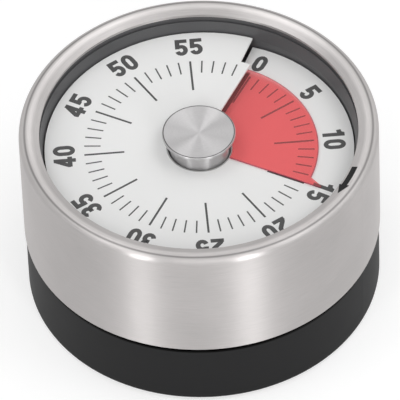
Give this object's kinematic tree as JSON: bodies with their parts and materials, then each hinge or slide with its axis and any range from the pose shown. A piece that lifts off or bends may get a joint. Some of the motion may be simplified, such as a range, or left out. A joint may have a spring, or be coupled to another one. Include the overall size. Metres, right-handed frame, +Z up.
{
  "type": "visual countdown timer",
  "caption": "Round mechanical countdown timer: a turning brushed-steel top on a black base winds a red film out of a slit in a white minute dial, around a fixed centre knob.",
  "frame": {"origin": "centre of the underside, on the table, at the bottom of the rubber ring", "axes": "+Z up; +Y points from the centre to the minute 0 mark; +X points to the minute 15 mark"},
  "size_m": [0.079, 0.079, 0.046],
  "materials": {
    "base_cup": "fine matt moulding grain",
    "foot_ring": "soft matt rubber",
    "magnets": "nickel plate",
    "base_screws": "zinc plate",
    "centre_post": "turned steel",
    "gong": "bright drawn steel",
    "back_plate": "stamped brass",
    "front_plate": "stamped brass",
    "pillars": "turned brass",
    "plate_screws": "zinc plate",
    "post_clip": "spring steel",
    "dial_spacer": "turned brass",
    "dial_plate": "smooth white sheet, satin",
    "centre_knob": "turned, radially brushed top, polished side",
    "mainspring": "blued spring strip",
    "hammer_spring": "spring wire",
    "steel_shell": "brushed around, satin lip",
    "inner_carrier": "dark grey satin moulding",
    "arbor_nut": "zinc plate",
    "main_arbor": "turned steel",
    "main_wheel": "stamped brass",
    "slip_spring": "spring steel",
    "clutch_ring": "turned steel",
    "strike_cam": "natural moulding",
    "red_film": "thin clear red film, satin",
    "second_pinion": "turned steel",
    "second_wheel": "natural moulding",
    "third_pinion": "turned steel",
    "third_wheel": "natural moulding",
    "escape_pinion": "turned steel",
    "escape_wheel": "natural moulding",
    "anchor": "stamped steel",
    "balance_wheel": "natural moulding",
    "hammer": "stamped steel"
  },
  "bodies": {
    "base": {"base_cup": "base_cup", "foot_ring": "foot_ring", "magnets": "magnets", "base_screws": "base_screws", "centre_post": "centre_post", "gong": "gong", "back_plate": "back_plate", "front_plate": "front_plate", "pillars": "pillars", "plate_screws": "plate_screws", "post_clip": "post_clip", "dial_spacer": "dial_spacer", "dial_plate": "dial_plate", "centre_knob": "centre_knob", "mainspring": "mainspring", "hammer_spring": "hammer_spring"},
    "turning_top": {"steel_shell": "steel_shell", "inner_carrier": "inner_carrier", "arbor_nut": "arbor_nut", "main_arbor": "main_arbor", "main_wheel": "main_wheel", "slip_spring": "slip_spring", "clutch_ring": "clutch_ring", "strike_cam": "strike_cam"},
    "film": {"red_film": "red_film"},
    "second": {"second_pinion": "second_pinion", "second_wheel": "second_wheel"},
    "third": {"third_pinion": "third_pinion", "third_wheel": "third_wheel"},
    "escape": {"escape_pinion": "escape_pinion", "escape_wheel": "escape_wheel"},
    "pallet": {"anchor": "anchor", "balance_wheel": "balance_wheel"},
    "striker": {"hammer": "hammer"}
  },
  "joints": [
    {"name": "top_turn", "type": "hinge", "parent": "base", "child": "turning_top", "pos_m": [0, 0, 0.03], "axis": [0, 0, -1], "range_deg": [-90, 270], "deforming": ["mainspring"]},
    {"name": "film_rise", "type": "slide", "parent": "turning_top", "child": "film", "axis": [0, 0, 1], "range_m": [-0.00051, 0.00151]},
    {"name": "second_spin", "type": "hinge", "parent": "base", "child": "second", "pos_m": [0.0204, 0, 0.018], "axis": [0, 0, -1], "range_deg": [-1621, 541]},
    {"name": "third_spin", "type": "hinge", "parent": "base", "child": "third", "pos_m": [0.01747, 0.01236, 0.018], "axis": [0, 0, -1], "range_deg": [-3241, 9721]},
    {"name": "escape_spin", "type": "hinge", "parent": "base", "child": "escape", "pos_m": [0.0076, 0.01785, 0.018], "axis": [0, 0, -1], "range_deg": [-58321, 19441]},
    {"name": "pallet_swing", "type": "hinge", "parent": "base", "child": "pallet", "pos_m": [-0.00032, 0.02122, 0.018], "axis": [0, 0, 1], "range_deg": [-4, 4]},
    {"name": "hammer_swing", "type": "hinge", "parent": "base", "child": "striker", "pos_m": [-0.01879, -0.00684, 0.018], "axis": [0, 0, 1], "range_deg": [-10, 1.5], "stiffness_Nm_per_rad": 0.002}
  ],
  "couplings": [
    {"joint": "film_rise", "follows": "top_turn", "m_per_rad": 0.00031831},
    {"joint": "second_spin", "follows": "top_turn", "ratio": -6},
    {"joint": "third_spin", "follows": "top_turn", "ratio": 36},
    {"joint": "escape_spin", "follows": "top_turn", "ratio": -216}
  ]
}
